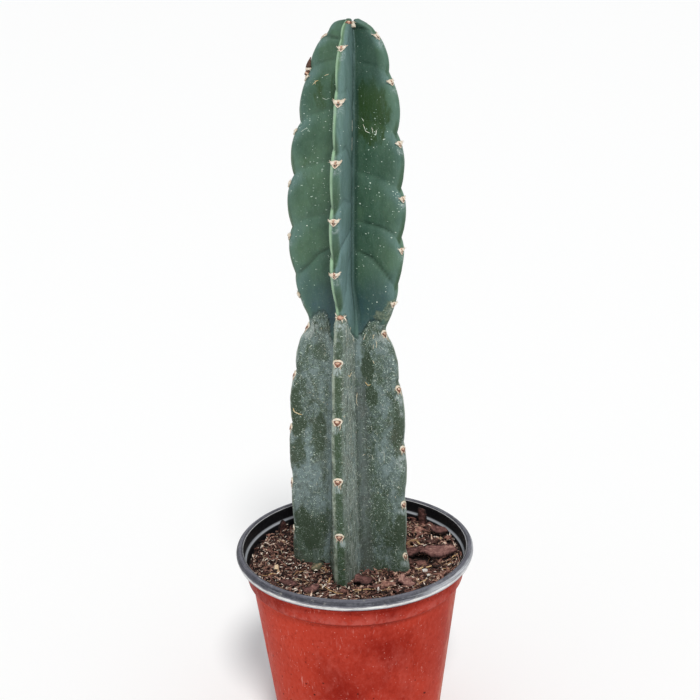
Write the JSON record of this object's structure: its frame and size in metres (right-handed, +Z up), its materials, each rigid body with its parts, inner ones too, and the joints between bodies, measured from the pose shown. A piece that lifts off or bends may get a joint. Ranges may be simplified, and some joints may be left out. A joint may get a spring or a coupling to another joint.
{
  "type": "potted cereus cactus",
  "caption": "Ribbed columnar cereus cactus with woolly spine cushions, growing in bark soil in a round plastic nursery pot.",
  "frame": {"origin": "centre of the pot's base, on the surface that it stands on", "axes": "+Z up along the stem; -Y is the front, the side that the picture shows; +X to the right of the front"},
  "size_m": [0.152, 0.152, 0.4658],
  "materials": {
    "pot": "satin thermoformed plastic, terracotta outside, black inside and on the rim",
    "soil": "damp crumbled bark mix, matte",
    "stem": "waxy green skin with a bluish bloom",
    "bark": "dry reddish bark, matte"
  },
  "bodies": {
    "root": {"pot": "pot", "soil": "soil", "stem": "stem", "bark_flake_1": "bark", "bark_flake_2": "bark", "bark_flake_3": "bark", "bark_flake_4": "bark", "bark_flake_5": "bark", "bark_flake_6": "bark", "bark_flake_7": "bark", "bark_flake_8": "bark", "bark_flake_9": "bark"}
  },
  "joints": []
}
